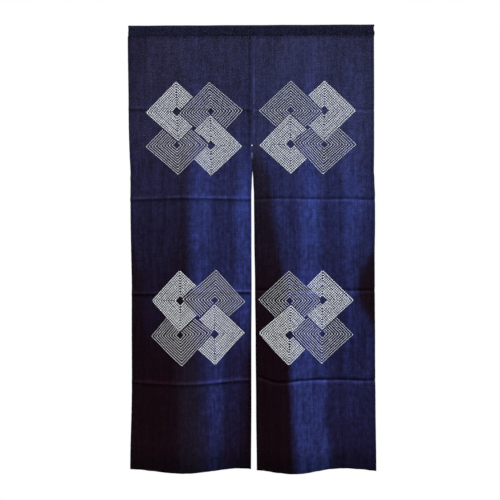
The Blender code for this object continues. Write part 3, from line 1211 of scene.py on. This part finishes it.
@dataclass(frozen=True)
class Studio:
    """White surroundings, soft light from the front and upper right, and the camera."""

    ambient: float = 0.30
    floor_z: float = -1.75
    target: tuple[float, float, float] = (-0.0086, 0.0, -0.771)
    distance: float = 1.6
    yaw_degrees: float = 0.58
    lens: float = 33.59

    def world(self) -> None:
        """White where the camera looks past the curtain, and a dim even light on it."""
        world = bpy.data.worlds.new("studio")
        world.use_nodes = True
        bpy.context.scene.world = world
        tree = world.node_tree
        sky = tree.nodes["Background"]
        path = tree.nodes.new("ShaderNodeLightPath")
        level = tree.nodes.new("ShaderNodeMapRange")
        level.inputs["To Min"].default_value = self.ambient
        level.inputs["To Max"].default_value = 1.0
        sky.inputs["Color"].default_value = (1.0, 1.0, 1.0, 1.0)
        tree.links.new(path.outputs["Is Camera Ray"], level.inputs["Value"])
        tree.links.new(level.outputs[0], sky.inputs["Strength"])
        bpy.context.scene.view_settings.view_transform = "Standard"

    def floor(self) -> None:
        """A pale floor that runs on into the white behind it."""
        corners = 8.0 * np.array([[-1, -1, 0], [1, -1, 0], [1, 1, 0], [-1, 1, 0]]) + (0, 0, self.floor_z)
        material = bpy.data.materials.new("pale_floor")
        material.use_nodes = True
        tree = material.node_tree
        paint = tree.nodes["Principled BSDF"]
        paint.inputs["Base Color"].default_value = (0.8, 0.8, 0.8, 1.0)
        paint.inputs["Roughness"].default_value = 0.9
        glow, mix = tree.nodes.new("ShaderNodeEmission"), tree.nodes.new("ShaderNodeMixShader")
        path = tree.nodes.new("ShaderNodeLightPath")
        tree.links.new(path.outputs["Is Camera Ray"], mix.inputs[0])
        tree.links.new(paint.outputs[0], mix.inputs[1])
        tree.links.new(glow.outputs[0], mix.inputs[2])
        tree.links.new(mix.outputs[0], tree.nodes["Material Output"].inputs["Surface"])
        add_mesh("floor", corners, np.array([[0, 1, 2, 3]]), material)

    def light(self, name: str, place: tuple[float, float, float], strength: float, spread: float) -> None:
        """Hang a far, soft light that faces the curtain's middle and falls evenly on all of it."""
        lamp = bpy.data.lights.new(name, "SUN")
        lamp.angle, lamp.energy = math.radians(spread), strength
        holder = bpy.data.objects.new(name, lamp)
        holder.location = place
        to_middle = Vector((0.0, 0.0, -0.75)) - Vector(place)
        holder.rotation_euler = to_middle.to_track_quat("-Z", "Y").to_euler()
        bpy.context.scene.collection.objects.link(holder)

    def camera(self) -> None:
        """Stand level in front of the curtain, a little to the right, as the photograph was taken."""
        turn = math.radians(self.yaw_degrees)
        data = bpy.data.cameras.new("camera")
        data.sensor_width, data.lens = 36.0, self.lens
        holder = bpy.data.objects.new("camera", data)
        offset = (self.distance * math.sin(turn), -self.distance * math.cos(turn), 0.0)
        holder.location = tuple(a + b for a, b in zip(self.target, offset))
        holder.rotation_euler = (math.pi / 2, 0.0, turn)
        bpy.context.scene.collection.objects.link(holder)
        bpy.context.scene.camera = holder

    def build(self) -> None:
        """Set up everything round the curtain."""
        self.world()
        self.floor()
        self.light("key", (0.8, -2.2, 2.0), 2.9, 22.0)
        self.light("fill", (-1.2, -2.6, -0.6), 0.35, 40.0)
        self.light("back", (-1.2, 2.4, 1.0), 1.2, 40.0)
        self.camera()


# ---------------------------------------------------------------------------------------------
# The curtain
# ---------------------------------------------------------------------------------------------


def left_panel() -> Panel:
    """Describe the left panel: one broad fold, with smaller ones beside it."""
    return Panel(
        name="left_panel_cloth",
        node="left_panel",
        side=Side.LEFT,
        width=0.427,
        slit_edge_mm=(-0.05, -0.05, 2.0, 3.6, 3.4, 2.8, 3.8, 3.6, 4.7),
        set_back_mm=(0, 3, 9, 13, 14, 12),
        cut_mm=(2.4, 0.7, -1.5, 0.3, 1.4, 2.1),
        hem_mm=(6.5, 3.7, 2.0, 1.2, 1.7, 0.5, 0.7, 0.3, 0.0),
        folds=(
            Fold(0.50, 0.52, crest=(0.50, 0.50, 0.50, 0.49, 0.47, 0.45), depth_mm=(0, 9, 34, 45, 49, 42)),
            Fold(0.13, 0.13, crest=(0.18, 0.18, 0.18, 0.17, 0.16, 0.15), depth_mm=(0, 1, 3, 3, 2, 1)),
            Fold(0.17, 0.17, crest=(1.04, 1.04, 1.04, 1.04, 1.03, 1.02), depth_mm=(0, 0, 2, 4, 7, 8)),
        ),
        creases=(
            Crease(0.284, 1.4, (1.7, 1.7, 4.7), seed=11, pale=0.35, dark=1.00),
            Crease(0.593, 3.0, (3.2, 2.4, 3.0), seed=12, pale=0.55, dark=0.80),
            Crease(0.906, 2.2, (17.0, 9.0, 10.0), seed=13, pale=0.60, dark=1.50),
            Crease(1.219, 3.4, (9.7, 4.3, 1.0), seed=14, pale=1.15, dark=0.90),
        ),
        # Bands of painted light where the folds' sides face the light, then bands of painted sheen.
        painted_lit_bands=(
            PaintedLightBand((0.45, 0.46, 0.50, 0.50, 0.57, 0.58), (1.1, 1.1, 1.1, 1.05, 0.93, 0.92),
                    (0.06, 0.10, 0.26, 0.24, 0.15, 0.06), 0.05, 0.08),
            PaintedLightBand((0.52, 0.52, 0.52, 0.53, 0.55, 0.55), (0.65, 0.65, 0.66, 0.64, 0.62, 0.62),
                    (0.0, 0.05, 0.32, 0.12, 0.0, 0.0), 0.05, 0.05),
            PaintedLightBand((0.66, 0.66, 0.66, 0.66, 0.65, 0.65), (0.74, 0.74, 0.74, 0.74, 0.76, 0.76),
                    (0.0, 0.0, 0.0, 0.04, 0.28, 0.14), 0.05, 0.05),
            PaintedLightBand((0.87, 0.87, 0.87, 0.88, 0.90, 0.90), (1.1, 1.1, 1.1, 1.1, 1.1, 1.1),
                    (0.0, 0.06, 0.34, 0.26, 0.0, 0.0), 0.05, 0.05),
            PaintedLightBand((-0.1, -0.1, -0.1, 0.1, 0.1, 0.1), (0.45, 0.45, 0.45, 0.4, 0.3, 0.3),
                    (0.03, 0.06, 0.09, 0.04, 0.0, 0.0), 0.05, 0.15),
        ),
        painted_sheen_bands=(
            PaintedLightBand((0.28, 0.28, 0.30, 0.30, 0.30, 0.30), (1.1, 1.1, 1.1, 1.1, 1.1, 1.1),
                    (0.10, 0.02, 0.0, 0.0, 0.0, 0.0), 0.20, 0.05),
            PaintedLightBand((-0.1, -0.1, -0.1, -0.1, -0.1, -0.1), (0.14, 0.12, 0.10, 0.10, 0.10, 0.10),
                    (-0.16, 0.0, 0.0, 0.0, 0.0, 0.0), 0.05, 0.06),
            PaintedLightBand((0.40, 0.40, 0.40, 0.40, 0.42, 0.42), (0.62, 0.62, 0.62, 0.62, 0.62, 0.62),
                    (0.0, 0.0, 0.0, 0.0, 0.16, 0.14), 0.10, 0.08),
        ),
        seam_lit=0.004,
        seam_line=(0.0105, -0.52),
        slit_dark=0.25,
        seed=101,
    )


def right_panel() -> Panel:
    """Describe the right panel: two folds, and an inner edge that swings away from the left panel."""
    return Panel(
        name="right_panel_cloth",
        node="right_panel",
        side=Side.RIGHT,
        width=0.417,
        slit_edge_mm=(-0.05, -0.05, 2.2, 4.6, 5.8, 8.2, 10.2, 12.0, 14.4),
        set_back_mm=(0, 3, 7, 9, 9, 8),
        cut_mm=(-1.0, 0.7, 3.8, 2.6, 2.2, 2.1),
        hem_mm=(6.7, 7.4, 4.4, 4.0, 1.7, 0.0, -1.8, 1.0, 2.7),
        folds=(
            Fold(0.30, 0.39, crest=(0.30, 0.30, 0.28, 0.25, 0.21, 0.31), depth_mm=(0, 6, 15, 24, 32, 32)),
            Fold(0.17, 0.19, crest=(0.78, 0.78, 0.77, 0.82, 0.92, 1.02), depth_mm=(0, 3, 12, 11, 9, 9)),
        ),
        creases=(
            Crease(0.284, -1.2, (2.5, 4.0, 6.0), seed=21, pale=0.35, dark=0.25),
            Crease(0.593, -2.4, (2.0, 3.0, 5.0), seed=22, pale=0.45, dark=0.60),
            Crease(0.906, -2.2, (3.7, 3.7, 4.3), seed=23, pale=0.70, dark=0.80),
            Crease(1.219, -3.0, (-13.0, 2.0, -1.8, -0.5, -0.5, -0.5), seed=24, pale=0.85, dark=1.30),
        ),
        # Bands of painted light where the folds' sides face the light, then bands of painted sheen.
        painted_lit_bands=(
            PaintedLightBand((-0.1, 0.0, 0.16, 0.24, 0.31, 0.33), (1.2, 1.2, 1.2, 0.84, 1.25, 1.25),
                    (0.08, 0.15, 0.30, 0.20, 0.19, 0.10), 0.05, 0.06),
            PaintedLightBand((0.40, 0.40, 0.40, 0.36, 0.30, 0.33), (0.56, 0.56, 0.53, 0.56, 0.58, 0.62),
                    (0.05, 0.15, 0.42, 0.34, 0.30, 0.33), 0.05, 0.06),
            PaintedLightBand((0.74, 0.74, 0.74, 0.75, 0.76, 0.76), (0.90, 0.90, 0.87, 0.84, 0.84, 0.84),
                    (0.0, 0.08, 0.26, 0.14, 0.06, 0.0), 0.04, 0.05),
        ),
        painted_sheen_bands=(
            PaintedLightBand((-0.1, -0.1, 0.05, 0.05, 0.05, 0.05), (1.1, 1.1, 1.1, 1.1, 1.1, 1.1),
                    (0.12, 0.14, 0.0, 0.0, 0.0, 0.0), 0.05, 0.05),
            PaintedLightBand((0.24, 0.26, 0.30, 0.30, 0.30, 0.30), (0.64, 0.60, 0.60, 0.60, 0.60, 0.60),
                    (0.22, 0.05, 0.0, 0.0, 0.0, 0.0), 0.07, 0.07),
            PaintedLightBand((0.74, 0.72, 0.72, 0.7, 0.7, 0.7), (0.92, 0.90, 0.90, 0.90, 0.90, 0.90),
                    (0.0, 0.28, 0.0, 0.0, 0.0, 0.0), 0.05, 0.05),
        ),
        seam_lit=0.010,
        seam_line=(0.0050, 0.22),
        slit_dark=0.30,
        seed=202,
    )


def main() -> None:
    """Build the curtain and set it in the studio."""
    logging.basicConfig(level=logging.INFO, format="%(name)s: %(message)s")
    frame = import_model()
    log.info("solids: %s", ", ".join(sorted(frame["nodes"])))
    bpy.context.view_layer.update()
    finishes = Finishes.made()
    panels = left_panel(), right_panel()
    sewing = MachineSewing(*panels)
    seam = [
        sewing.centre_seam(finishes.navy),
        sewing.bar_tack(finishes.grey_blue),
        sewing.knot(finishes.pale),
    ]
    gapes = {Side.LEFT: 0.002, Side.RIGHT: 0.007}
    motifs = {
        Side.LEFT: (("upper", (0.201, 0.3555), (2, 3, 0, 2)), ("lower", (0.1875, 0.9995), (1, -4, 1, 4))),
        Side.RIGHT: (("upper", (0.188, 0.351), (1, 1, 0, 3)), ("lower", (0.1775, 1.0015), (1, 0, 2, 1))),
    }
    for panel in panels:
        word = panel.side.name.lower()
        pocket = RodPocket(f"{word}_pocket_cloth", f"{word}_heading", panel.side, panel.width,
                           gapes[panel.side], seed=panel.seed + 30)
        pocket_piece = pocket.build(finishes.cotton)
        pocket_stitching = sewing.pocket(pocket, -0.0335, finishes.navy)
        cloth = panel.build(finishes.cotton)
        threads = [sewing.hems(panel, finishes.navy)]
        for k, (name, middle, tilts) in enumerate(motifs[panel.side], 1):
            motif = SquareMotif(panel, f"{word}_{name}_square", middle, tilts, seed=panel.seed + 1000 * k)
            threads += motif.build(finishes.pale)
        if panel.side is Side.LEFT:
            threads += seam
    Studio().build()


if __name__ == "__main__":
    main()
